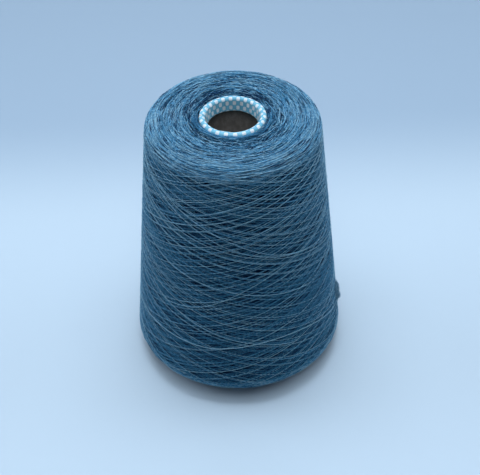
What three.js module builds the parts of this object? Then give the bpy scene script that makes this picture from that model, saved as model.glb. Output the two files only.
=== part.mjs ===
// A knitting-yarn cone: yarn cross-wound in parallel layers on a tapered paper cone
// with a rounded, turned-in nose. Millimetres, +Z up, origin at the centre of the base.

import * as THREE from 'three';

// Paper cone
const CONE_LENGTH = 170;
const CONE_HALF_ANGLE = THREE.MathUtils.degToRad( 5 + 57 / 60 );
const NOSE_OUTER_RADIUS = 18.5;
const NOSE_ROLL_RADIUS = 1.8;
const NOSE_TURN_IN_ANGLE = THREE.MathUtils.degToRad( 8 );
const TURNED_IN_LENGTH = 6.1;
const TURNED_IN_STEP = 0.5;

// Plies of the cone, from the printed outside to the bore
const COVER_THICKNESS = 0.2;
const BOARD_WRAP_THICKNESS = 0.5;
const LINER_THICKNESS = 0.2;
const PLY_GAP = 0.05;
const THIN_PLY_TRIM = 0.3;

// Yarn package
const YARN_DIAMETER = 0.5;
const WOUND_THICKNESS = 29.3;
const PACKAGE_FOOT_HEIGHT = 13.9;
const PACKAGE_TOP_HEIGHT = 169.1;
const FOOT_FACE_RISE = 1.6;
const FOOT_EDGE_RADIUS = 2;
const SHOULDER_RADIUS = 7;
const PACKAGE_TO_CONE_GAP = 0.3;
const NECK_WIDTH = 3;
const NECK_DEPTH = 1.1;

// Outer end: the last wrap sweeps round the front of the package and its end stands
// off the right-hand side in a small slack loop. Degrees from +X, heights and the
// loop's stand-off from the package's side.
const LAST_WRAP_CLEARANCE = 0.12;
const LAST_WRAP_ROUTE = [
	{ degrees: 186, height: 44.2, standOff: 0 },
	{ degrees: 196, height: 45.3, standOff: 0 },
	{ degrees: 210, height: 46.1, standOff: 0 },
	{ degrees: 225, height: 46.4, standOff: 0 },
	{ degrees: 240, height: 46.1, standOff: 0 },
	{ degrees: 254, height: 46.2, standOff: 0 },
	{ degrees: 266, height: 47.9, standOff: 0 },
	{ degrees: 279, height: 49.8, standOff: 0 },
	{ degrees: 292, height: 50.6, standOff: 0 },
	{ degrees: 305, height: 49.5, standOff: 0 },
	{ degrees: 317, height: 46.6, standOff: 0 },
	{ degrees: 329, height: 42.2, standOff: 0 },
	{ degrees: 341, height: 37.6, standOff: 0 },
	{ degrees: 348.5, height: 35.2, standOff: 0.3 },
	{ degrees: 351.6, height: 36.4, standOff: 1.0 },
	{ degrees: 352.4, height: 39.6, standOff: 1.5 },
	{ degrees: 352, height: 42.8, standOff: 1.4 },
	{ degrees: 350.6, height: 45.2, standOff: 0.8 },
	{ degrees: 348.4, height: 46.4, standOff: 0.1 },
];

// Facets
const RING_SEGMENTS = 64;
const NOSE_ARC_STEPS = 6;
const SHOULDER_ARC_STEPS = 6;
const FOOT_EDGE_ARC_STEPS = 3;
const YARN_SIDES = 8;
const LAST_WRAP_STEPS = 80;

const sinTaper = Math.sin( CONE_HALF_ANGLE );
const cosTaper = Math.cos( CONE_HALF_ANGLE );
const tanTaper = Math.tan( CONE_HALF_ANGLE );

const noseCentre = new THREE.Vector2(
	NOSE_OUTER_RADIUS - NOSE_ROLL_RADIUS,
	CONE_LENGTH - NOSE_ROLL_RADIUS
);

const printedPaper = new THREE.MeshStandardMaterial( { color: 0x62a4cf, roughness: 0.55 } );
const greyBoard = new THREE.MeshStandardMaterial( { color: 0x77716a, roughness: 0.9 } );
const linerPaper = new THREE.MeshStandardMaterial( { color: 0x6a6865, roughness: 0.85 } );
const yarn = new THREE.MeshStandardMaterial( { color: 0x2f5f84, roughness: 0.95 } );

// Points in the radius and height plane along a round stretch, from one angle to another.
function arcPoints( centre, radius, fromAngle, toAngle, steps ) {

	const points = [];
	for ( let i = 0; i <= steps; i ++ ) {

		const angle = fromAngle + ( toAngle - fromAngle ) * i / steps;
		points.push( new THREE.Vector2(
			centre.x + radius * Math.cos( angle ),
			centre.y + radius * Math.sin( angle )
		) );

	}
	return points;

}

// A ring about Z. Its closed section runs anticlockwise in the radius and height plane.
function ring( section ) {

	const geometry = new THREE.LatheGeometry( [ ...section, section[ 0 ].clone() ], RING_SEGMENTS );
	geometry.rotateX( Math.PI / 2 );
	return geometry;

}

// A round strand of yarn along a curve.
function strand( curve, steps ) {

	const section = new THREE.Shape();
	for ( let i = 0; i < YARN_SIDES; i ++ ) {

		const angle = 2 * Math.PI * i / YARN_SIDES;
		const x = YARN_DIAMETER / 2 * Math.cos( angle );
		const y = YARN_DIAMETER / 2 * Math.sin( angle );
		if ( i === 0 ) section.moveTo( x, y );
		else section.lineTo( x, y );

	}
	return new THREE.ExtrudeGeometry( section, { steps, extrudePath: curve } );

}

function named( name, geometry, material ) {

	const mesh = new THREE.Mesh( geometry, material );
	mesh.name = name;
	return mesh;

}

// One side of a ply at a depth below the cone's outer surface: up the taper, over the
// nose and down the turned-in lip.
function plySide( depth, lipLength, footHeight ) {

	const roll = NOSE_ROLL_RADIUS - depth;
	const bend = arcPoints( noseCentre, roll, CONE_HALF_ANGLE, Math.PI - NOSE_TURN_IN_ANGLE, NOSE_ARC_STEPS );
	const top = bend[ 0 ];
	const inner = bend[ bend.length - 1 ];
	const foot = new THREE.Vector2( top.x + ( top.y - footHeight ) * tanTaper, footHeight );
	const lip = new THREE.Vector2(
		inner.x - lipLength * Math.sin( NOSE_TURN_IN_ANGLE ),
		inner.y - lipLength * Math.cos( NOSE_TURN_IN_ANGLE )
	);
	return [ foot, ...bend, lip ];

}

function ply( depth, thickness, lipLength, footHeight ) {

	const outside = plySide( depth, lipLength, footHeight );
	const inside = plySide( depth + thickness, lipLength, footHeight ).reverse();
	return ring( [ ...outside, ...inside ] );

}

// Radius of the cone's printed outside at a height on its straight taper.
function coneRadius( height ) {

	const taperTop = noseCentre.y + NOSE_ROLL_RADIUS * sinTaper;
	return noseCentre.x + NOSE_ROLL_RADIUS * cosTaper + ( taperTop - height ) * tanTaper;

}

// Radius of the package's side, which is parallel to the cone.
function packageRadius( height ) {

	return coneRadius( height ) + WOUND_THICKNESS / cosTaper;

}

// The foot face rises a little outwards, and the flat top face dips at the nose.
function packageSection() {

	const sideAtFoot = packageRadius( PACKAGE_FOOT_HEIGHT );
	const shoulderHeight = PACKAGE_TOP_HEIGHT - SHOULDER_RADIUS;
	const shoulderCentre = new THREE.Vector2(
		packageRadius( shoulderHeight ) - SHOULDER_RADIUS / cosTaper,
		shoulderHeight
	);
	const footEdgeHeight = PACKAGE_FOOT_HEIGHT + FOOT_EDGE_RADIUS;
	const footEdgeCentre = new THREE.Vector2(
		packageRadius( footEdgeHeight ) - FOOT_EDGE_RADIUS / cosTaper,
		footEdgeHeight
	);
	const innerFootHeight = PACKAGE_FOOT_HEIGHT - FOOT_FACE_RISE;
	const innerFoot = new THREE.Vector2( coneRadius( innerFootHeight ) + PACKAGE_TO_CONE_GAP, innerFootHeight );
	const footFaceAngle = Math.atan2( FOOT_FACE_RISE, sideAtFoot - innerFoot.x );

	const footEdge = arcPoints(
		footEdgeCentre, FOOT_EDGE_RADIUS,
		footFaceAngle - Math.PI / 2, CONE_HALF_ANGLE, FOOT_EDGE_ARC_STEPS
	);
	const shoulder = arcPoints(
		shoulderCentre, SHOULDER_RADIUS,
		CONE_HALF_ANGLE, Math.PI / 2, SHOULDER_ARC_STEPS
	);
	const neckBottom = PACKAGE_TOP_HEIGHT - NECK_DEPTH;
	const innerTop = new THREE.Vector2( coneRadius( neckBottom ) + PACKAGE_TO_CONE_GAP, neckBottom );
	const neckRim = new THREE.Vector2( innerTop.x + NECK_WIDTH, PACKAGE_TOP_HEIGHT );
	return [ innerFoot, ...footEdge, ...shoulder, neckRim, innerTop ];

}

// The last wrap's route, laid on the package's side.
function lastWrapCurve() {

	const seat = YARN_DIAMETER / 2 + LAST_WRAP_CLEARANCE;
	const points = LAST_WRAP_ROUTE.map( ( { degrees, height, standOff } ) => {

		const angle = THREE.MathUtils.degToRad( degrees );
		const radius = packageRadius( height ) + seat + standOff;
		return new THREE.Vector3( radius * Math.cos( angle ), radius * Math.sin( angle ), height );

	} );
	return new THREE.CatmullRomCurve3( points );

}

function paperCone() {

	const cone = new THREE.Group();
	const outerWrapDepth = COVER_THICKNESS + PLY_GAP;
	const innerWrapDepth = outerWrapDepth + BOARD_WRAP_THICKNESS + PLY_GAP;
	const linerDepth = innerWrapDepth + BOARD_WRAP_THICKNESS + PLY_GAP;
	const lipLength = ( plyIndex ) => TURNED_IN_LENGTH - TURNED_IN_STEP * plyIndex;
	const cover = ply( 0, COVER_THICKNESS, lipLength( 0 ), THIN_PLY_TRIM );
	const outerWrap = ply( outerWrapDepth, BOARD_WRAP_THICKNESS, lipLength( 1 ), 0 );
	const innerWrap = ply( innerWrapDepth, BOARD_WRAP_THICKNESS, lipLength( 2 ), 0 );
	const liner = ply( linerDepth, LINER_THICKNESS, lipLength( 3 ), THIN_PLY_TRIM );
	cone.add( named( 'cone_cover_paper', cover, printedPaper ) );
	cone.add( named( 'cone_outer_board_wrap', outerWrap, greyBoard ) );
	cone.add( named( 'cone_inner_board_wrap', innerWrap, greyBoard ) );
	cone.add( named( 'cone_liner_paper', liner, linerPaper ) );
	return cone;

}

function woundYarn() {

	const wound = new THREE.Group();
	wound.add( named( 'yarn_package', ring( packageSection() ), yarn ) );
	wound.add( named( 'yarn_outer_end', strand( lastWrapCurve(), LAST_WRAP_STEPS ), yarn ) );
	return wound;

}

const yarnCone = new THREE.Group();
yarnCone.add( paperCone() );
yarnCone.add( woundYarn() );

export default yarnCone;
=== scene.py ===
"""Looks for a cone of knitting yarn: strands of yarn wound round a printed paper cone.

Lengths are in metres. The frame gives the places, and the constants below give the rest.
"""

import math

import bpy
import numpy as np
from mathutils import Matrix, Vector


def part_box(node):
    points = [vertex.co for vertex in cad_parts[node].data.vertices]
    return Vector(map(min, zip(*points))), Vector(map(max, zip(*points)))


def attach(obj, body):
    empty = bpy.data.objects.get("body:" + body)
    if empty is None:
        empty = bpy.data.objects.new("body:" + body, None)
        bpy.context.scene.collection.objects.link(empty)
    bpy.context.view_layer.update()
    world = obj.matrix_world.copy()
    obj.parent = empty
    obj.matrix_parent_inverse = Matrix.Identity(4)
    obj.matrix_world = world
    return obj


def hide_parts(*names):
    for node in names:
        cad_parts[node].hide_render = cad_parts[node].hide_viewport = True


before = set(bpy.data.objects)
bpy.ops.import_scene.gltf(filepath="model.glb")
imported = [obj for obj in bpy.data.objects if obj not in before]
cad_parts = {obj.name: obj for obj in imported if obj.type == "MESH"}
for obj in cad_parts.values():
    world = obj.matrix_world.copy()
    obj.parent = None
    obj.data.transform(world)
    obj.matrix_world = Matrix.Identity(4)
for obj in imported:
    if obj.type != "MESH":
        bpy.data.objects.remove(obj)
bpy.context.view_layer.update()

MM = 0.001
BODY = "root"
rng = np.random.default_rng(20260)

# The paper cone, as the part has it
TAPER = math.radians(5 + 57 / 60)
NOSE_OUTER_RADIUS = 18.5 * MM
NOSE_ROLL_RADIUS = 1.8 * MM
NOSE_TURN_IN = math.radians(8)
TURNED_IN_LENGTH = 6.1 * MM
TURNED_IN_STEP = 0.5 * MM
COVER_THICKNESS = 0.2 * MM
BOARD_THICKNESS = 0.5 * MM
LINER_THICKNESS = 0.2 * MM
PLY_GAP = 0.05 * MM

# The package, as the part has it
SHOULDER_RADIUS = 7.0 * MM
FOOT_EDGE_RADIUS = 2.0 * MM
FOOT_FACE_RISE = 1.6 * MM
PACKAGE_TO_CONE_GAP = 0.3 * MM
NECK_WIDTH = 3.0 * MM
NECK_DEPTH = 1.1 * MM
SECTION_SAMPLES = 1600

# A strand's usual radius, the sides of its tube and its ends' radius against the rest
YARN_RADIUS = 0.18 * MM
STRAND_SIDES = 5
STRAND_TIP = 0.3

package_low, package_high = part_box("yarn_package")
cover_low, cover_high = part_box("cone_cover_paper")
board_low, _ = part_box("cone_outer_board_wrap")

nose_centre = np.array([NOSE_OUTER_RADIUS - NOSE_ROLL_RADIUS, cover_high.z - NOSE_ROLL_RADIUS])


# ---------------------------------------------------------------- section of the package

def arc(centre, radius, start, end, steps):
    """Radius and height pairs along a round stretch."""
    angles = np.linspace(start, end, steps + 1)
    return np.column_stack([centre[0] + radius * np.cos(angles), centre[1] + radius * np.sin(angles)])


def cone_radius(height):
    """Radius of the cone's printed outside on its straight taper."""
    return cover_high.x - (height - cover_low.z) * math.tan(TAPER)


class Section:
    """The package's outline, walked from the nose over the shoulder and the side to the foot."""

    def __init__(self, outline, marks):
        steps = np.hypot(*np.diff(outline, axis=0).T)
        walked = np.concatenate([[0.0], np.cumsum(steps)])
        self.length = walked[-1]
        self.marks = {name: walked[index] for name, index in marks.items()}
        self.s = np.linspace(0, self.length, SECTION_SAMPLES)
        self.r = np.interp(self.s, walked, outline[:, 0])
        self.z = np.interp(self.s, walked, outline[:, 1])
        along_r = np.gradient(self.r, self.s)
        along_z = np.gradient(self.z, self.s)
        size = np.hypot(along_r, along_z)
        self.normal_r = -along_z / size
        self.normal_z = along_r / size

    def radius(self, s):
        return np.interp(s, self.s, self.r)

    def outward(self, s):
        return np.interp(s, self.s, self.normal_r), np.interp(s, self.s, self.normal_z)

    def place(self, s, lift):
        """Radius and height of points at s, raised by lift along the outward normal."""
        normal_r, normal_z = self.outward(s)
        r = self.radius(s) + lift * normal_r
        z = np.interp(s, self.s, self.z) + lift * normal_z
        return r, z

    def at_height(self, height):
        """Where on the side, from the shoulder to the foot edge, a height is."""
        on_side = (self.s > self.marks["side"]) & (self.s < self.marks["foot_edge"])
        return np.interp(-height, -self.z[on_side], self.s[on_side])


def package_section():
    """The section from the neck beside the nose to the inner edge of the foot face."""
    shoulder_steps, foot_steps = 24, 12
    foot_height = package_low.z + FOOT_FACE_RISE + FOOT_EDGE_RADIUS
    widest_height = foot_height + FOOT_EDGE_RADIUS * math.sin(TAPER)
    top = package_high.z

    def side(height):
        return package_high.x - (height - widest_height) * math.tan(TAPER)

    shoulder_height = top - SHOULDER_RADIUS
    shoulder_centre = (side(shoulder_height) - SHOULDER_RADIUS / math.cos(TAPER), shoulder_height)
    foot_centre = (side(foot_height) - FOOT_EDGE_RADIUS / math.cos(TAPER), foot_height)
    neck = cone_radius(top - NECK_DEPTH) + PACKAGE_TO_CONE_GAP
    foot = cone_radius(package_low.z) + PACKAGE_TO_CONE_GAP
    outline = np.vstack([
        [[neck, top - NECK_DEPTH], [neck + NECK_WIDTH, top]],
        arc(shoulder_centre, SHOULDER_RADIUS, math.pi / 2, TAPER, shoulder_steps),
        arc(foot_centre, FOOT_EDGE_RADIUS, TAPER, -math.pi / 2, foot_steps),
        [[foot, package_low.z]],
    ])
    marks = {
        "shoulder": 2,
        "side": 2 + shoulder_steps,
        "foot_edge": 3 + shoulder_steps,
        "foot_face": 3 + shoulder_steps + foot_steps,
    }
    return Section(outline, marks)


section = package_section()


# ---------------------------------------------------------------- meshes

def make_mesh(name, vertices, faces, attributes):
    """A smooth mesh object from arrays. Faces are rows of four vertex numbers."""
    mesh = bpy.data.meshes.new(name)
    corners = faces.shape[1]
    mesh.vertices.add(len(vertices))
    mesh.vertices.foreach_set("co", np.ascontiguousarray(vertices, np.float32).ravel())
    mesh.loops.add(faces.size)
    mesh.loops.foreach_set("vertex_index", np.ascontiguousarray(faces, np.int32).ravel())
    mesh.polygons.add(len(faces))
    mesh.polygons.foreach_set("loop_start", np.arange(0, faces.size, corners, dtype=np.int32))
    mesh.polygons.foreach_set("use_smooth", np.full(len(faces), True))
    for key, values in attributes.items():
        values = np.ascontiguousarray(values, np.float32)
        if values.ndim == 2:
            attribute = mesh.attributes.new(key, "FLOAT_VECTOR", "POINT")
            attribute.data.foreach_set("vector", values.ravel())
        else:
            attribute = mesh.attributes.new(key, "FLOAT", "POINT")
            attribute.data.foreach_set("value", values)
    mesh.update(calc_edges=True)
    mesh.validate()
    piece = bpy.data.objects.new(name, mesh)
    bpy.context.scene.collection.objects.link(piece)
    return piece


def keep(piece, node, slot):
    """Hangs a piece on the body and hides the CAD node it stands for. The slot for its finish is not
    used.
    """
    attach(piece, BODY)
    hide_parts(node)


def walked_from(points, origin=0):
    """Distance along a line of points, counted from the point numbered origin."""
    steps = np.linalg.norm(np.diff(points, axis=0), axis=1)
    walked = np.concatenate([[0], np.cumsum(steps)])
    return walked - walked[origin]


def directions(points, out):
    """Unit vectors across and up from a line of points, where out is roughly up."""
    along = np.gradient(points, axis=0)
    along /= np.linalg.norm(along, axis=1, keepdims=True)
    across = np.cross(along, out)
    across /= np.linalg.norm(across, axis=1, keepdims=True)
    return across, np.cross(across, along)


class Strands:
    """Collects lengths of yarn, then turns them into round tubes with tapered ends.

    Each point carries a value for the colour, which holds the yarn's own changes of tone together
    with painted shade and painted highlight, and a fibre vector: the turn round the strand as a
    cosine and a sine, and the length walked along it, for its twist.
    """

    def __init__(self, sides=STRAND_SIDES):
        self.sides = sides
        self.vertices = []
        self.faces = []
        self.tones_and_shading = []
        self.fibres = []
        self.count = 0

    def lay(self, theta, s, lift, tone_and_shading, radius=YARN_RADIUS):
        """A strand on the package's surface."""
        r, z = section.place(s, lift)
        out_r, out_z = section.outward(s)
        c, k = np.cos(theta), np.sin(theta)
        points = np.column_stack([r * c, r * k, z])
        self.add(points, np.column_stack([out_r * c, out_r * k, out_z]), tone_and_shading, radius)

    def add(self, points, out, tone_and_shading, radius):
        """A strand through points. out is the surface's outward direction at each of them."""
        n = len(points)
        across, up = directions(points, out)
        walked = walked_from(points)
        size = np.full(n, radius)
        size[0] = size[-1] = radius * STRAND_TIP
        angles = np.arange(self.sides) * 2 * math.pi / self.sides
        c, k = np.cos(angles), np.sin(angles)
        ring = c[None, :, None] * across[:, None, :] + k[None, :, None] * up[:, None, :]
        ring = ring * size[:, None, None] + points[:, None, :]
        i = np.arange(n - 1)[:, None] * self.sides
        j = np.arange(self.sides)[None, :]
        jj = (j + 1) % self.sides
        quads = np.stack([i + j, i + jj, i + jj + self.sides, i + j + self.sides], -1)
        self.vertices.append(ring.reshape(-1, 3))
        self.faces.append(quads.reshape(-1, 4) + self.count)
        self.tones_and_shading.append(np.repeat(np.broadcast_to(tone_and_shading, n), self.sides))
        fibre = np.stack([np.tile(c, n), np.tile(k, n), np.repeat(walked, self.sides)], -1)
        self.fibres.append(fibre)
        self.count += n * self.sides

    def build(self, name, node="yarn_package"):
        attributes = {"tone_and_shading": np.concatenate(self.tones_and_shading), "fibre": np.vstack(self.fibres)}
        piece = make_mesh(name, np.vstack(self.vertices), np.vstack(self.faces), attributes)
        piece.data.materials.append(yarn)
        keep(piece, node, "yarn")


# ---------------------------------------------------------------- materials

class Nodes:
    """A material's node tree, with short ways to add to it."""

    def __init__(self, name):
        self.material = bpy.data.materials.new(name)
        self.material.use_nodes = True
        self.tree = self.material.node_tree
        self.shader = self.tree.nodes["Principled BSDF"]

    def put(self, socket, value):
        """Links a node's output, or sets a plain value."""
        if isinstance(value, bpy.types.NodeSocket):
            self.tree.links.new(value, socket)
        elif hasattr(value, "__len__") and len(value) == 3 and socket.type == "RGBA":
            socket.default_value = (*value, 1)
        else:
            socket.default_value = value

    def math(self, operation, *values):
        node = self.tree.nodes.new("ShaderNodeMath")
        node.operation = operation
        for socket, value in zip(node.inputs, values):
            self.put(socket, value)
        return node.outputs[0]

    def mix(self, factor, a, b):
        node = self.tree.nodes.new("ShaderNodeMix")
        node.data_type = "RGBA"
        self.put(node.inputs["Factor"], factor)
        self.put(node.inputs["A"], a)
        self.put(node.inputs["B"], b)
        return node.outputs["Result"]

    def steps(self, value, low, high):
        """A smooth step from 0, where value is low, to 1, where it is high."""
        node = self.tree.nodes.new("ShaderNodeMapRange")
        node.interpolation_type = "SMOOTHSTEP"
        for key, given in (("Value", value), ("From Min", low), ("From Max", high)):
            self.put(node.inputs[key], given)
        return node.outputs["Result"]

    def attribute(self, name, output="Fac"):
        node = self.tree.nodes.new("ShaderNodeAttribute")
        node.attribute_name = name
        return node.outputs[output]

    def place(self):
        return self.tree.nodes.new("ShaderNodeTexCoord").outputs["Object"]

    def scaled(self, vector, scale):
        node = self.tree.nodes.new("ShaderNodeVectorMath")
        node.operation = "MULTIPLY"
        self.put(node.inputs[0], vector)
        node.inputs[1].default_value = scale
        return node.outputs[0]

    def parts(self, vector):
        node = self.tree.nodes.new("ShaderNodeSeparateXYZ")
        self.put(node.inputs[0], vector)
        return node.outputs

    def noise(self, vector, scale, detail=3.0, roughness=0.5):
        node = self.tree.nodes.new("ShaderNodeTexNoise")
        self.put(node.inputs["Vector"], vector)
        node.inputs["Scale"].default_value = scale
        node.inputs["Detail"].default_value = detail
        node.inputs["Roughness"].default_value = roughness
        return node.outputs["Fac"]

    def bump(self, height, strength, distance):
        node = self.tree.nodes.new("ShaderNodeBump")
        node.inputs["Strength"].default_value = strength
        node.inputs["Distance"].default_value = distance
        self.put(node.inputs["Height"], height)
        self.put(self.shader.inputs["Normal"], node.outputs["Normal"])

    def finish(self, **values):
        for key, value in values.items():
            self.put(self.shader.inputs[key.replace("_", " ")], value)
        return self.material


# The yarn's colours, from the darkest, painted shade for yarn in a gap, to the lightest, painted
# highlight for yarn on top
YARN_COLOURS = ((0.0, 0.016, 0.058), (0.033, 0.166, 0.292), (0.192, 0.350, 0.445))
# The buried yarn's colours, darker than the strands' own: painted shade
SHADED_DEEP_YARN_COLOURS = ((0.001, 0.012, 0.040), (0.002, 0.022, 0.068), (0.004, 0.034, 0.095))
YARN_SHEEN = (0.85, 0.95, 1.0)
TWIST_PITCH = 2.6 * MM

# How far the plies' stripes, the short dark and light lengths and a slow drift change the
# yarn's lightness, and the level past which it gets no lighter
STRIPE_CHANGE = 0.22
MELANGE_CHANGE = 1.3
DRIFT_CHANGE = 0.35
LIGHTEST_LEVEL = 1.4


def yarn_material(name, colours):
    """Twisted, slightly hairy yarn: lighter and darker lengths, with the plies' stripes, and the
    painted shade and highlight that each point's value carries.
    """
    dark, middle, light = colours
    nodes = Nodes(name)
    place = nodes.place()
    melange = nodes.noise(place, 420, 4, 0.6)
    drift = nodes.noise(place, 25, 2)
    c, k, walked = nodes.parts(nodes.attribute("fibre", "Vector"))
    phase = nodes.math("MULTIPLY", walked, 2 * math.pi / TWIST_PITCH)
    stripe = nodes.math(
        "ADD",
        nodes.math("MULTIPLY", nodes.math("SINE", phase), c),
        nodes.math("MULTIPLY", nodes.math("COSINE", phase), k),
    )
    change = nodes.math("MULTIPLY_ADD", stripe, STRIPE_CHANGE, 1.0)
    change = nodes.math("MULTIPLY_ADD", nodes.math("SUBTRACT", melange, 0.5), MELANGE_CHANGE, change)
    change = nodes.math("MULTIPLY_ADD", nodes.math("SUBTRACT", drift, 0.5), DRIFT_CHANGE, change)
    level = nodes.math("MULTIPLY", change, nodes.attribute("tone_and_shading"))
    low = nodes.math("MULTIPLY", nodes.math("MAXIMUM", level, 0.0), 2.0)
    high = nodes.math("MULTIPLY", nodes.math("MINIMUM", level, LIGHTEST_LEVEL), 2.0)
    high = nodes.math("MAXIMUM", nodes.math("SUBTRACT", high, 1.0), 0.0)
    colour = nodes.mix(high, nodes.mix(low, dark, middle), light)
    return nodes.finish(
        Base_Color=colour, Roughness=0.65, Specular_IOR_Level=0.13,
        Sheen_Weight=0.20, Sheen_Roughness=0.3, Sheen_Tint=YARN_SHEEN,
    )


yarn = yarn_material("yarn", YARN_COLOURS)
shaded_deep_yarn = yarn_material("yarn_deep_painted_shade", SHADED_DEEP_YARN_COLOURS)


# ---------------------------------------------------------------- winding on the side

# Sets of strands from the deepest to the topmost: how many lie side by side, how high the
# set's last strand lies against the package's outside, how light the yarn shows, darker for the
# deeper sets as painted shade, its radius
WINDING_SETS = (
    (59, -2.20 * MM, 0.04, 0.24 * MM),
    (58, -1.85 * MM, 0.07, 0.22 * MM),
    (57, -1.50 * MM, 0.11, 0.20 * MM),
    (55, -1.10 * MM, 0.21, 0.19 * MM),
    (52, -0.60 * MM, 0.44, 0.18 * MM),
    (48, -0.05 * MM, 0.74, 0.17 * MM),
)
WIND_ANGLE = math.radians(17)
WINDING_STEP = 4.0 * MM
WINDING_ONTO_SHOULDER = 3.0 * MM
WINDING_ONTO_FOOT_EDGE = 1.2 * MM

# By what part of a place a set misses closing on itself, how much it rises from its first
# stroke to its last, and over how many points each way a turning point is rounded
WINDING_DRIFT = 0.31
WINDING_RISE = 0.40 * MM
TURN_ROUNDING = 3

# How unevenly the yarn is laid: its turning points, its wander round the package and its lift
TURN_SCATTER = 0.8 * MM
WANDER_SPACING = 90 * MM
WANDER = 0.004
LIFT_SPACING = 25 * MM
LIFT_SCATTER = 0.05 * MM

# How much a stroke's shade strays from its set's, what share of the strokes is made lighter as
# painted highlight and by how much, the limit of that, and how much darker the side gets towards
# the foot as painted shade
SHADE_RANGE = (0.55, 1.4)
HIGHLIGHT_STROKES = 0.10
STROKE_HIGHLIGHT_GAIN = 0.6
LIGHTEST_STROKE = 1.3
PAINTED_FOOT_SHADE = 0.25

POINTS_PER_PIECE = 19000


def slow_noise(t, spacing, spread):
    """Smooth random values along t."""
    knots = np.arange(t[0], t[-1] + spacing, spacing)
    return np.interp(t, knots, rng.normal(0, spread, len(knots)))


def winding(positions, height, start):
    """One length of yarn, laid to and fro over the side in crossing spirals, each over the last."""
    top = section.marks["side"] - WINDING_ONTO_SHOULDER
    bottom = section.marks["foot_edge"] + WINDING_ONTO_FOOT_EDGE
    travel = bottom - top
    circumference = 2 * math.pi * section.radius(0.5 * (top + bottom))
    turns = 2 * travel / (circumference * math.tan(WIND_ANGLE))
    turns = (round(turns * positions) + WINDING_DRIFT) / positions
    angle = math.atan(2 * travel / (circumference * turns))
    strokes = positions * 2
    pass_length = travel / math.sin(angle)
    t = np.arange(0, strokes * pass_length, WINDING_STEP)
    stroke = (t / pass_length).astype(int)
    share = t / pass_length - stroke
    down = stroke % 2 == 0
    ends = rng.normal(0, TURN_SCATTER, strokes + 2)
    s_from = np.where(down, top, bottom) + ends[stroke]
    s_to = np.where(down, bottom, top) + ends[stroke + 1]
    s = s_from + (s_to - s_from) * share
    window = np.hanning(2 * TURN_ROUNDING + 3)[1:-1]
    s = np.convolve(np.pad(s, TURN_ROUNDING, mode="edge"), window / window.sum(), mode="valid")
    turn = np.sqrt(np.maximum(WINDING_STEP ** 2 - np.gradient(s) ** 2, 0)) / section.radius(s)
    theta = start + np.cumsum(turn) + slow_noise(t, WANDER_SPACING, WANDER)
    lift = height - WINDING_RISE * (1 - t / t[-1]) + slow_noise(t, LIFT_SPACING, LIFT_SCATTER)
    return theta, s, lift, stroke


def side_strands():
    """The side's strands, one for each stroke of each set."""
    side, foot_edge = section.marks["side"], section.marks["foot_edge"]
    for positions, height, tone_and_shading, radius in WINDING_SETS:
        theta, s, lift, stroke = winding(positions, height, rng.uniform(0, 2 * math.pi))
        for k in range(stroke[-1] + 1):
            which = np.flatnonzero(stroke == k)
            span = slice(which[0], which[-1] + 2)
            # Lighter strokes are painted highlight, and the darkening towards the foot is painted shade
            shade = tone_and_shading * rng.uniform(*SHADE_RANGE)
            shade += STROKE_HIGHLIGHT_GAIN if rng.random() < HIGHLIGHT_STROKES else 0
            shade = min(shade, LIGHTEST_STROKE)
            share = (s[span] - side) / (foot_edge - side)
            yield theta[span], s[span], lift[span], shade * (1 - PAINTED_FOOT_SHADE * share), radius


def lay_pieces(name, strands):
    """Lays strands on the package as numbered pieces of a size that is handy for export."""
    piece, number = Strands(), 1
    for strand in strands:
        piece.lay(*strand)
        if piece.count > POINTS_PER_PIECE * STRAND_SIDES:
            piece.build(f"{name}_{number}")
            piece, number = Strands(), number + 1
    piece.build(f"{name}_{number}")


# ---------------------------------------------------------------- ends of the package

ARC_POINTS = 9
LENGTH_RANGE = (0.6, 1.4)
RIPPLE_PHASES = 6.28

# How much an arc's shade strays, how much darker the deepest arcs are as painted shade, and which
# ones of all arcs, by a number drawn from 0 to 1, are made lighter as painted highlight and by how much
ARC_SHADE_SCATTER = 0.10
ARC_DEPTH_PAINTED_SHADE = 0.36
HIGHLIGHT_ARCS_FROM = 0.88
ARC_HIGHLIGHT_GAIN = 0.25

# A dark length, painted shade that stands for a crevice: its shade, its size against the others'
# and how high it lies between the lifts
PAINTED_SHADE_TINT = 0.05
DARK_LENGTH = 0.45
DARK_RADIUS = 0.65
DARK_HEIGHTS = (0.85, 1.0)


def end_arcs(s_low, s_high, count, half_length, lift_low, lift_high, wave, dive, shade, painted_crevices, radius):
    """Short lengths that lie along the rim: the yarn where it turns back at the end of its travel.

    The argument before radius is the share of short, thin, dark lengths near the top: painted
    shade that stands for crevices.
    """
    along = np.linspace(s_low, s_high, 200)
    weight = np.cumsum(section.radius(along))
    weight = (weight - weight[0]) / (weight[-1] - weight[0])
    t = np.linspace(-1, 1, ARC_POINTS)
    for s0 in np.interp(rng.random(count), weight, along):
        half = half_length * rng.uniform(*LENGTH_RANGE)
        height = rng.random()
        # Lower arcs are darker, painted shade, and some are lighter, painted highlight
        tone_and_shading = rng.normal(shade, ARC_SHADE_SCATTER) - ARC_DEPTH_PAINTED_SHADE * (1 - height)
        size = radius
        kind = rng.random()
        if kind < painted_crevices:
            half *= DARK_LENGTH
            height = rng.uniform(*DARK_HEIGHTS)
            tone_and_shading = PAINTED_SHADE_TINT
            size = DARK_RADIUS * radius
        elif kind > HIGHLIGHT_ARCS_FROM:
            tone_and_shading += ARC_HIGHLIGHT_GAIN
        theta = rng.uniform(0, 2 * math.pi) + t * half / section.radius(s0)
        tilt, bow, ripple = rng.normal(0, wave, 3) * (0.8, 1.0, 0.5) * half / half_length
        phase = rng.uniform(0, RIPPLE_PHASES)
        s = s0 + tilt * t + bow * (t * t - 0.3) + ripple * np.sin(t * math.pi + phase)
        s = np.clip(s, 0.2 * MM, section.length - 0.2 * MM)
        lift = lift_low + (lift_high - lift_low) * height - dive * np.abs(t) ** 2.2
        yield theta, s, lift, np.clip(tone_and_shading, 0.02, 1.2), size


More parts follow.
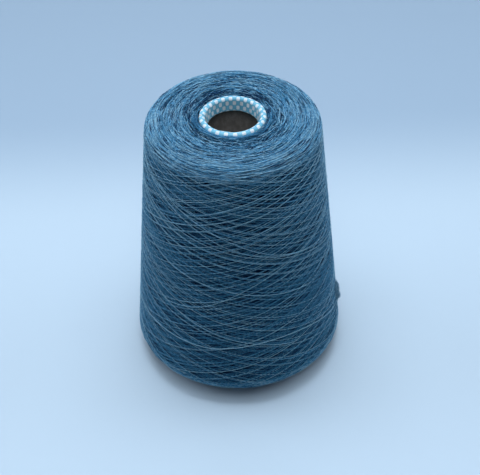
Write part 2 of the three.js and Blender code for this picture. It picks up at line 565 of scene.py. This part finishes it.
def package_ends():
    """The two ends, from the nose out over the shoulder and from the foot edge back in."""
    mark = section.marks
    lay_pieces("yarn_top_face_inner", end_arcs(
        0.3 * MM, 13 * MM, 1150, half_length=6 * MM, lift_low=-2.6 * MM, lift_high=0.35 * MM,
        wave=0.8 * MM, dive=1.5 * MM, shade=0.74, painted_crevices=0.20, radius=0.18 * MM,
    ))
    lay_pieces("yarn_top_face", end_arcs(
        9 * MM, mark["shoulder"], 3000, half_length=8 * MM, lift_low=-2.2 * MM,
        lift_high=0.1 * MM, wave=0.5 * MM, dive=1.3 * MM, shade=0.72, painted_crevices=0.16, radius=0.17 * MM,
    ))
    lay_pieces("yarn_shoulder", end_arcs(
        mark["shoulder"] - 1 * MM, mark["side"] + 2 * MM, 3000, half_length=12 * MM,
        lift_low=-2.1 * MM, lift_high=-0.1 * MM, wave=0.45 * MM, dive=1.3 * MM, shade=0.77,
        painted_crevices=0.13, radius=0.17 * MM,
    ))
    lay_pieces("yarn_foot_edge", end_arcs(
        mark["foot_edge"] - 2 * MM, mark["foot_face"] + 1 * MM, 1600, half_length=16 * MM,
        lift_low=-1.6 * MM, lift_high=-0.2 * MM, wave=0.4 * MM, dive=0.9 * MM, shade=0.74,
        painted_crevices=0.05, radius=0.18 * MM,
    ))
    lay_pieces("yarn_foot_face", end_arcs(
        mark["foot_face"], section.length - 0.4 * MM, 2300, half_length=13 * MM,
        lift_low=-1.8 * MM, lift_high=-0.2 * MM, wave=0.6 * MM, dive=0.9 * MM, shade=0.65,
        painted_crevices=0.12, radius=0.20 * MM,
    ))


# Where the yarn seems to gape beside the nose, dark lengths as painted shade: degrees from +X,
# their spread, how many dark lengths lie there, how far out they reach and half of each one's
# length, in millimetres
NOSE_GAPS = ((12, 2.5, 30, 2.4, 1.6), (118, 24, 40, 7.0, 3.0), (60, 14, 16, 5.0, 3.0))
NOSE_GAP_LIFT = 0.8 * MM
NOSE_GAP_DIVE = 1.2 * MM
NOSE_GAP_RADIUS = 0.17 * MM


def nose_gaps():
    """Dark lengths beside the nose, which pass for the deep shade of a gap."""
    strands = Strands()
    t = np.linspace(-1, 1, 7)
    for degrees, spread, count, reach, length in NOSE_GAPS:
        for _ in range(count):
            s = rng.uniform(0.5, reach) * MM + rng.normal(0, 0.2) * MM * t
            middle = math.radians(rng.normal(degrees, spread))
            theta = middle + t * length * rng.uniform(0.6, 1.2) * MM / section.radius(s)
            lift = NOSE_GAP_LIFT - NOSE_GAP_DIVE * t * t
            strands.lay(theta, s, lift, PAINTED_SHADE_TINT, NOSE_GAP_RADIUS)
    strands.build("yarn_nose_gap_painted_shade")


# The collar's turns: how many there are and where the most lie, with the spread, by degrees
# from +X
COLLAR_TURNS = 260
COLLAR_DEGREES = 266
COLLAR_SPREAD = 38


def nose_collar():
    """Looser turns that lie against the nose, most of them at its front."""
    strands = Strands()
    t = np.linspace(-1, 1, 13)
    for _ in range(COLLAR_TURNS):
        middle = math.radians(rng.normal(COLLAR_DEGREES, COLLAR_SPREAD))
        half = rng.uniform(5, 10) * MM
        theta = middle + t * half / NOSE_OUTER_RADIUS
        s0 = rng.uniform(0.2, 3.4) * MM
        s = s0 + rng.normal(0, 0.35) * MM * t + rng.normal(0.3, 0.4) * MM * t * t
        height = rng.random()
        lift = (-0.6 + 1.9 * height) * MM - 1.0 * MM * np.abs(t) ** 2
        # Lower turns are darker: painted shade
        tone_and_shading = np.clip(rng.normal(0.5, 0.15) - 0.4 * (1 - height), 0, 1)
        strands.lay(theta, np.maximum(s, 0.15 * MM), lift, tone_and_shading)
    strands.build("yarn_nose_collar")


# ---------------------------------------------------------------- strands that stand out

def smooth_route(points, samples):
    """A smooth curve through given points, as many values as samples."""
    points = np.asarray(points, float)
    fine = np.linspace(0, len(points) - 1, samples)
    padded = np.vstack([2 * points[0] - points[1], points, 2 * points[-1] - points[-2]])
    index = np.minimum(fine.astype(int), len(points) - 2)
    u = (fine - index)[:, None]
    p0, p1, p2, p3 = (padded[index + k] for k in range(4))
    return 0.5 * (
        2 * p1 + (p2 - p0) * u + (2 * p0 - 5 * p1 + 4 * p2 - p3) * u ** 2
        + (3 * p1 - p0 - 3 * p2 + p3) * u ** 3
    )


# Wraps that lie over the rest, by degrees from +X and height in millimetres
PROUD_WRAPS = (
    ((180, 161), (200, 152), (232, 137), (261, 122), (290, 111), (316, 105), (345, 99)),
    ((215, 148), (240, 137), (265, 125), (292, 112), (320, 103)),
    ((222, 69), (248, 76), (275, 91), (298, 102), (320, 109), (350, 116)),
    ((205, 107), (232, 98), (265, 90), (296, 83), (322, 78)),
    ((208, 78), (232, 68), (256, 58), (282, 49), (305, 41)),
    ((250, 140), (278, 149), (305, 156), (330, 160)),
    ((20, 150), (60, 136), (95, 120), (130, 108)),
    ((30, 60), (70, 76), (110, 92), (150, 103)),
    ((80, 40), (120, 54), (160, 66)),
)
PROUD_SAMPLES = 70
PROUD_LIFT = 0.22 * MM
PROUD_DIVE = 0.9 * MM
PROUD_TINT = 0.95
PROUD_RADIUS = 0.17 * MM


def proud_wraps():
    """Wraps that lie over the rest, each one diving under it at both of its ends."""
    strands = Strands(6)
    for route in PROUD_WRAPS:
        degrees, height = smooth_route(route, PROUD_SAMPLES).T
        share = np.linspace(0, 1, PROUD_SAMPLES)
        lift = PROUD_LIFT - PROUD_DIVE * (2 * np.abs(share - 0.5)) ** 8
        s = section.at_height(height * MM)
        strands.lay(np.radians(degrees), s, lift, PROUD_TINT, PROUD_RADIUS)
    strands.build("yarn_proud_wraps")


# The last wrap, by degrees from +X, height and stand-off from the package in millimetres
LAST_WRAP = (
    (186, 44.2, 0), (196, 45.3, 0), (210, 46.1, 0), (225, 46.4, 0), (240, 46.1, 0),
    (254, 46.2, 0), (266, 47.9, 0), (279, 49.8, 0), (292, 50.6, 0), (305, 49.5, 0),
    (317, 46.6, 0), (329, 42.2, 0), (341, 37.6, 0), (348.5, 35.2, 0.3), (351.6, 36.4, 1.0),
    (352.4, 39.6, 1.5), (352, 42.8, 1.4), (350.6, 45.2, 0.8), (348.4, 46.4, 0.1),
)
LAST_WRAP_SEAT = 0.27 * MM
LAST_WRAP_SAMPLES = 520
LAST_WRAP_TINT = 1.15
PLY_RADIUS = 0.14 * MM
PLY_OFFSET = 0.12 * MM


def last_wrap_line():
    """The last wrap's middle line, and the way out from the package along it."""
    degrees, height, stand_off = smooth_route(LAST_WRAP, LAST_WRAP_SAMPLES).T
    s = section.at_height(height * MM)
    r, z = section.place(s, LAST_WRAP_SEAT + stand_off * MM)
    out_r, out_z = section.outward(s)
    c, k = np.cos(np.radians(degrees)), np.sin(np.radians(degrees))
    return np.column_stack([r * c, r * k, z]), np.column_stack([out_r * c, out_r * k, out_z])


def last_wrap():
    """The yarn's outer end as two plies twisted together."""
    strands = Strands(6)
    points, out = last_wrap_line()
    across, up = directions(points, out)
    for ply in (0, math.pi):
        turn = walked_from(points) * 2 * math.pi / TWIST_PITCH + ply
        side = PLY_OFFSET * (np.cos(turn)[:, None] * across + np.sin(turn)[:, None] * up)
        strands.add(points + side, up, LAST_WRAP_TINT, PLY_RADIUS)
    strands.build("yarn_last_wrap", node="yarn_outer_end")


# ---------------------------------------------------------------- loose fibres

FUZZ_COUNT = 8000
FUZZ_TINT = 0.9
FUZZ_RADIUS = 0.022 * MM

# The tuft at the outer end, by degrees from +X and the heights in millimetres where its
# lengths start
TUFT_DEGREES = 351.5
TUFT_HEIGHTS = (32, 43)
TUFT_COUNT = 90
TUFT_TINT = 0.8


def fuzz():
    """Fine fibre ends that stand off the yarn all over the package."""
    strands = Strands(3)
    t = np.linspace(0, 1, 5)
    area = np.cumsum(section.r)
    s_start = np.interp(rng.random(FUZZ_COUNT) * area[-1], area, section.s)
    for s0 in s_start:
        length = rng.uniform(0.8, 2.6) * MM
        heading = rng.uniform(0, 2 * math.pi)
        curl = rng.normal(0, 1.2)
        reach = length * t
        r0 = section.radius(s0)
        theta = rng.uniform(0, 2 * math.pi) + reach * np.cos(heading + curl * t) / r0
        s = np.clip(s0 + reach * np.sin(heading + curl * t), 0, section.length)
        lift = rng.uniform(0.2, 0.9) * MM * np.sin(t * rng.uniform(1.2, 2.8)) - 0.2 * MM
        strands.lay(theta, s, lift, FUZZ_TINT, FUZZ_RADIUS)
    strands.build("yarn_fuzz")


def end_tuft():
    """The frayed slack at the tucked outer end."""
    strands = Strands(4)
    t = np.linspace(0, 1, 12)
    for _ in range(TUFT_COUNT):
        middle = math.radians(rng.normal(TUFT_DEGREES, 1.3))
        low = rng.uniform(*TUFT_HEIGHTS)
        high = low + rng.uniform(2, 8)
        height = low + (high - low) * t + rng.normal(0, 0.5) * np.sin(t * math.pi)
        theta = middle + math.radians(rng.normal(0, 0.7)) * (t - 0.5)
        stand_off = rng.uniform(0.3, 2.7) * MM * np.sin(t * math.pi)
        s = section.at_height(height * MM)
        strands.lay(theta, s, stand_off, TUFT_TINT, rng.uniform(0.05, 0.16) * MM)
    strands.build("yarn_end_tuft")


# ---------------------------------------------------------------- backing under the strands

BACKING_DEPTH = 2.7 * MM
BACKING_INSET = 2.5 * MM
BACKING_SAMPLES = 260
BACKING_SEGMENTS = 192


def revolve(name, outline, segments):
    """A solid of revolution about Z from a closed outline of radius and height pairs."""
    n = len(outline)
    angles = np.arange(segments) * 2 * math.pi / segments
    c, k = np.cos(angles), np.sin(angles)
    vertices = np.stack([
        outline[None, :, 0] * c[:, None],
        outline[None, :, 0] * k[:, None],
        np.broadcast_to(outline[None, :, 1], (segments, n)),
    ], -1).reshape(-1, 3)
    i = np.arange(segments)[:, None] * n
    ii = ((np.arange(segments) + 1) % segments)[:, None] * n
    j = np.arange(n)[None, :]
    jj = (j + 1) % n
    faces = np.stack([i + j, ii + j, ii + jj, i + jj], -1).reshape(-1, 4)
    return make_mesh(name, vertices, faces, {})


def backing():
    """The wound yarn that is buried too deep to show as single strands, in darker colours as painted
    shade.
    """
    s = np.linspace(BACKING_INSET, section.length - BACKING_INSET, BACKING_SAMPLES)
    r, z = section.place(s, -BACKING_DEPTH)
    inner_top = [cone_radius(z[0]) + PACKAGE_TO_CONE_GAP, z[0]]
    inner_foot = [cone_radius(z[-1]) + PACKAGE_TO_CONE_GAP, z[-1]]
    outline = np.vstack([np.column_stack([r, z]), [inner_foot], [inner_top]])[::-1]
    piece = revolve("yarn_body", outline, BACKING_SEGMENTS)
    piece.data.materials.append(shaded_deep_yarn)
    keep(piece, "yarn_package", "yarn")


# ---------------------------------------------------------------- paper cone

# A ply's side has a straight taper, a bend over the nose and a turned-in lip. Rows of the print
# and pleats are counted from the origin, a point on the bend just past its top.
TAPER_POINTS = 30
BEND_STEPS = 20
LIP_STEPS = 7
ORIGIN = TAPER_POINTS + 12
PLY_POINTS_ROUND = 300
CREASE_ANGLE = math.radians(50)

# The cover is lapped and pleated, the other plies butt. Seams are in degrees from +X, with the
# step from each ply to the next one in.
COVER_OVERLAP = math.radians(14)
COVER_PLEATS = 0.12 * MM
LAP_CLEARANCE = 0.03 * MM
BUTTED = 1e-3
FIRST_SEAM = 250
SEAM_STEP = 70


def ply_side(depth, lip_length, foot_height):
    """One side of a ply, depth under the cone's outside: up the taper, over the nose, down the lip."""
    bend = arc(nose_centre, NOSE_ROLL_RADIUS - depth, TAPER, math.pi - NOSE_TURN_IN, BEND_STEPS)
    foot = bend[0] + np.array([math.tan(TAPER), -1.0]) * (bend[0][1] - foot_height)
    lip = bend[-1] - lip_length * np.array([math.sin(NOSE_TURN_IN), math.cos(NOSE_TURN_IN)])
    taper = foot + (bend[0] - foot) * np.linspace(0, 1, TAPER_POINTS, endpoint=False)[:, None]
    turned_in = bend[-1] + (lip - bend[-1]) * np.linspace(0, 1, LIP_STEPS + 1)[1:, None]
    return np.vstack([taper, bend, turned_in])


def pucker(swept):
    """Uneven pleats round the turned-in lip."""
    return np.sin(29 * swept + 0.6) + 0.6 * np.sin(17 * swept + 2.1) + 0.4 * np.sin(43 * swept)


def ply_faces(n):
    """Faces of a rolled sheet, made of rings of n points outside and then n inside."""
    i = np.arange(PLY_POINTS_ROUND - 1)[:, None] * 2 * n
    j = np.arange(n - 1)[None, :]
    outer = np.stack([i + j, i + 2 * n + j, i + 2 * n + j + 1, i + j + 1], -1).reshape(-1, 4)
    inner = np.stack([i + n + j + 1, i + 3 * n + j + 1, i + 3 * n + j, i + n + j], -1).reshape(-1, 4)
    k = np.arange(PLY_POINTS_ROUND - 1) * 2 * n
    foot_edge = np.stack([k + n, k + 3 * n, k + 2 * n, k], -1)
    lip_edge = np.stack([k + n - 1, k + 3 * n - 1, k + 4 * n - 1, k + 2 * n - 1], -1)
    j = np.arange(n - 1)
    last = (PLY_POINTS_ROUND - 1) * 2 * n
    first_cap = np.stack([j, j + 1, j + n + 1, j + n], -1)
    last_cap = np.stack([j + n, j + n + 1, j + 1, j], -1) + last
    return np.vstack([outer, inner, foot_edge, lip_edge, first_cap, last_cap])


def rolled_ply(name, depth, thickness, lip_length, foot_height, seam, overlap, pleats):
    """A sheet rolled into the cone, its last stretch lapped over its first."""
    outside = ply_side(depth, lip_length, foot_height)
    inside = ply_side(depth + thickness, lip_length, foot_height)
    n = len(outside)
    swept = np.linspace(0, 1, PLY_POINTS_ROUND) * (2 * math.pi + overlap)
    lapped = np.clip((swept - 2 * math.pi + overlap) / overlap, 0, 1)
    raised = (thickness + LAP_CLEARANCE) * lapped * lapped * (3 - 2 * lapped)
    along = walked_from(outside, ORIGIN)
    down_lip = np.clip(along / (lip_length + NOSE_ROLL_RADIUS), 0, 1)
    normal = np.stack([np.gradient(outside[:, 1]), -np.gradient(outside[:, 0])], -1)
    normal /= np.linalg.norm(normal, axis=1, keepdims=True)
    shift = raised[:, None] + pleats * pucker(swept)[:, None] * down_lip[None, :] ** 1.5
    angle = (swept + seam)[:, None]
    rings = []
    for line in (outside, inside):
        moved = line[None] + normal[None] * shift[..., None]
        r, z = moved[..., 0], moved[..., 1]
        rings.append(np.stack([r * np.cos(angle), r * np.sin(angle), z], -1))
    vertices = np.concatenate(rings, axis=1).reshape(-1, 3)
    sheet = np.stack([
        np.repeat(swept, 2 * n),
        np.tile(np.concatenate([along, along]), PLY_POINTS_ROUND),
        np.tile(np.repeat([1.0, 0.0], n), PLY_POINTS_ROUND),
    ], -1)
    piece = make_mesh(name, vertices, ply_faces(n), {"sheet": sheet})
    piece.data.set_sharp_from_angle(angle=CREASE_ANGLE)
    return piece


PRINT_REPEATS = 23
PRINT_ROW = 2.65 * MM
PRINT_START = 1.0 * MM
INK = (0.115, 0.345, 0.460)
FADED_INK = (0.165, 0.410, 0.520)
WHITE = (0.58, 0.59, 0.59)
SCUFFED = (0.46, 0.53, 0.55)
BARE_PAPER = (0.55, 0.53, 0.49)


def printed_paper():
    """Turquoise print with white squares in staggered rows, a little scuffed and faded."""
    nodes = Nodes("printed_paper")
    swept, along, outer = nodes.parts(nodes.attribute("sheet", "Vector"))
    place = nodes.place()
    from_row = nodes.math("SUBTRACT", along, PRINT_START)
    rows = nodes.math("COSINE", nodes.math("MULTIPLY", from_row, math.pi / PRINT_ROW))
    columns = nodes.math("COSINE", nodes.math("MULTIPLY", swept, PRINT_REPEATS))
    grain = nodes.noise(place, 2600, 3)
    squares = nodes.math("MULTIPLY", rows, columns)
    ragged = nodes.math("MULTIPLY_ADD", nodes.math("SUBTRACT", grain, 0.5), 0.12, squares)
    white = nodes.steps(ragged, 0.07, 0.23)
    fade = nodes.noise(place, 60, 3)
    ink = nodes.mix(nodes.steps(fade, 0.35, 0.7), INK, FADED_INK)
    print_colour = nodes.mix(white, ink, WHITE)
    scuff = nodes.math("MULTIPLY", nodes.steps(nodes.noise(place, 240, 6, 0.75), 0.60, 0.72), 0.5)
    worn = nodes.mix(scuff, print_colour, SCUFFED)
    colour = nodes.mix(outer, BARE_PAPER, worn)
    nodes.bump(nodes.noise(place, 1500, 4), 0.25, 0.05 * MM)
    return nodes.finish(Base_Color=colour, Roughness=0.5, Specular_IOR_Level=0.4)


# Colours of the dark and light fibres and the specks
BOARD_COLOURS = ((0.17, 0.155, 0.14), (0.33, 0.30, 0.27), (0.08, 0.07, 0.06))
LINER_COLOURS = ((0.22, 0.19, 0.165), (0.37, 0.325, 0.285), (0.10, 0.085, 0.07))


def board_material(name, colours, grain_scale):
    """Recycled board or lining paper: pressed fibres, specks and a slow change of shade."""
    dark, light, speck = colours
    nodes = Nodes(name)
    place = nodes.place()
    fibres = nodes.noise(nodes.scaled(place, (1, 1, 0.6)), grain_scale, 6, 0.7)
    shade = nodes.noise(place, 35, 2)
    level = nodes.math("ADD", nodes.math("MULTIPLY", fibres, 0.7), nodes.math("MULTIPLY", shade, 0.4))
    base = nodes.mix(nodes.steps(level, 0.35, 0.75), dark, light)
    specks = nodes.steps(nodes.noise(place, 1700, 2, 0.4), 0.70, 0.76)
    colour = nodes.mix(nodes.math("MULTIPLY", specks, 0.6), base, speck)
    nodes.bump(fibres, 0.35, 0.08 * MM)
    return nodes.finish(Base_Color=colour, Roughness=0.92, Specular_IOR_Level=0.2)


def paper_cone():
    """The four plies, from the printed cover in to the liner."""
    printed = printed_paper()
    board = board_material("cone_board", BOARD_COLOURS, 500)
    liner = board_material("liner_paper", LINER_COLOURS, 380)
    cover_foot, board_foot = cover_low.z, board_low.z
    plies = (
        ("paper_cover", "cone_cover_paper", "printed_paper", COVER_THICKNESS, cover_foot, printed),
        ("board_outer_wrap", "cone_outer_board_wrap", "cone_board", BOARD_THICKNESS, board_foot, board),
        ("board_inner_wrap", "cone_inner_board_wrap", "cone_board", BOARD_THICKNESS, board_foot, board),
        ("paper_liner", "cone_liner_paper", "liner_paper", LINER_THICKNESS, cover_foot, liner),
    )
    depth = 0
    for index, (name, node, slot, thickness, foot, material) in enumerate(plies):
        lip = TURNED_IN_LENGTH - TURNED_IN_STEP * index
        seam = math.radians(FIRST_SEAM - SEAM_STEP * index)
        overlap = COVER_OVERLAP if index == 0 else BUTTED
        pleats = COVER_PLEATS if index == 0 else 0
        piece = rolled_ply(name, depth, thickness, lip, foot, seam, overlap, pleats)
        piece.data.materials.append(material)
        keep(piece, node, slot)
        depth = depth + thickness + PLY_GAP


# ---------------------------------------------------------------- stage, light and camera

FLOOR_COLOUR = (0.43, 0.51, 0.57)
# The floor's far colour behind the part is darker: painted shade
SHADED_FAR_FLOOR_COLOUR = (0.29, 0.37, 0.45)
BACKDROP_COLOUR = (0.36, 0.49, 0.64)
LIGHT_COLOUR = (0.76, 0.87, 1.0)
WORLD_FILL = 0.03

# Where the floor darkens to its far colour behind the part, painted shade, and where it fades to
# the backdrop, all round
FAR_FLOOR_SHADE = (0.10, 0.24)
FLOOR_FADE = (0.45, 1.1)
FLOOR_SIZE = 12

# Soft square lights: where each one is, its side and its power
LIGHTS = {
    "key": ((0.0, -0.15, 1.3), 1.0, 8.8),
    "key_back": ((0.0, 0.35, 1.3), 1.0, 11.5),
    "key_core": ((0.0, 0.05, 1.3), 0.35, 3.4),
    "left": ((-1.2, 0.3, 0.7), 0.9, 9.0),
    "right": ((1.2, 0.3, 0.7), 0.9, 7.2),
    "front": ((0.0, -0.8, 1.35), 0.5, 5.0),
}

CAMERA_PLACE = Vector((2.1, -440.1, 489.1)) * MM
CAMERA_PITCH = math.radians(42.98)
CAMERA_ROLL = math.radians(1.63)
LENS = 75
SENSOR_WIDTH = 36


def stage():
    """The table, darker behind the part as painted shade. Far from the part it fades to the backdrop's
    colour, for the camera only.
    """
    bpy.ops.mesh.primitive_plane_add(size=FLOOR_SIZE, location=(0, 0, 0))
    floor = bpy.context.object
    floor.name = "floor"
    nodes = Nodes("floor")
    across, back, _ = nodes.parts(nodes.place())
    colour = nodes.mix(nodes.steps(back, *FAR_FLOOR_SHADE), FLOOR_COLOUR, SHADED_FAR_FLOOR_COLOUR)
    floor.data.materials.append(nodes.finish(Base_Color=colour, Roughness=0.6))
    from_centre = nodes.math("SQRT", nodes.math(
        "ADD", nodes.math("MULTIPLY", across, across), nodes.math("MULTIPLY", back, back),
    ))
    tree = nodes.tree
    haze = tree.nodes.new("ShaderNodeEmission")
    haze.inputs["Color"].default_value = (*BACKDROP_COLOUR, 1)
    rays = tree.nodes.new("ShaderNodeLightPath")
    far = nodes.math("MULTIPLY", nodes.steps(from_centre, *FLOOR_FADE), rays.outputs["Is Camera Ray"])
    blend = tree.nodes.new("ShaderNodeMixShader")
    tree.links.new(far, blend.inputs[0])
    tree.links.new(nodes.shader.outputs[0], blend.inputs[1])
    tree.links.new(haze.outputs[0], blend.inputs[2])
    tree.links.new(blend.outputs[0], tree.nodes["Material Output"].inputs["Surface"])


def lights():
    """Soft light from above, the front and both sides, aimed at the part's middle."""
    aim = Vector((0, 0, 0.5 * cover_high.z))
    for name, (place, size, power) in LIGHTS.items():
        data = bpy.data.lights.new(name, "AREA")
        data.shape = "SQUARE"
        data.size = size
        data.energy = power
        data.color = LIGHT_COLOUR
        light = bpy.data.objects.new(name, data)
        bpy.context.scene.collection.objects.link(light)
        light.location = place
        light.rotation_euler = (aim - Vector(place)).to_track_quat("-Z", "Y").to_euler()
        light.visible_camera = False


def backdrop():
    """The world shows as a pale backdrop to the camera and gives the object only a little light."""
    world = bpy.data.worlds.new("studio")
    bpy.context.scene.world = world
    world.use_nodes = True
    tree = world.node_tree
    fill = tree.nodes["Background"]
    fill.inputs["Color"].default_value = (*BACKDROP_COLOUR, 1)
    fill.inputs["Strength"].default_value = WORLD_FILL
    shown = tree.nodes.new("ShaderNodeBackground")
    shown.inputs["Color"].default_value = (*BACKDROP_COLOUR, 1)
    rays = tree.nodes.new("ShaderNodeLightPath")
    mix = tree.nodes.new("ShaderNodeMixShader")
    tree.links.new(rays.outputs["Is Camera Ray"], mix.inputs[0])
    tree.links.new(fill.outputs[0], mix.inputs[1])
    tree.links.new(shown.outputs[0], mix.inputs[2])
    tree.links.new(mix.outputs[0], tree.nodes["World Output"].inputs["Surface"])
    bpy.context.scene.view_settings.view_transform = "Standard"


def camera():
    """Looks down at the front of the part, with a slight roll."""
    forward = Vector((0, math.cos(CAMERA_PITCH), -math.sin(CAMERA_PITCH)))
    level = Vector((1, 0, 0))
    upward = Vector((0, math.sin(CAMERA_PITCH), math.cos(CAMERA_PITCH)))
    right = math.cos(CAMERA_ROLL) * level - math.sin(CAMERA_ROLL) * upward
    up = math.sin(CAMERA_ROLL) * level + math.cos(CAMERA_ROLL) * upward
    data = bpy.data.cameras.new("camera")
    data.lens = LENS
    data.sensor_width = SENSOR_WIDTH
    view = bpy.data.objects.new("camera", data)
    bpy.context.scene.collection.objects.link(view)
    turn = Matrix((right, up, -forward)).transposed().to_4x4()
    view.matrix_world = Matrix.Translation(CAMERA_PLACE) @ turn
    bpy.context.scene.camera = view


# ---------------------------------------------------------------- the scene

lay_pieces("yarn_side_winding", side_strands())
package_ends()
nose_gaps()
nose_collar()
proud_wraps()
last_wrap()
fuzz()
end_tuft()
backing()
paper_cone()

stage()
lights()
backdrop()
camera()
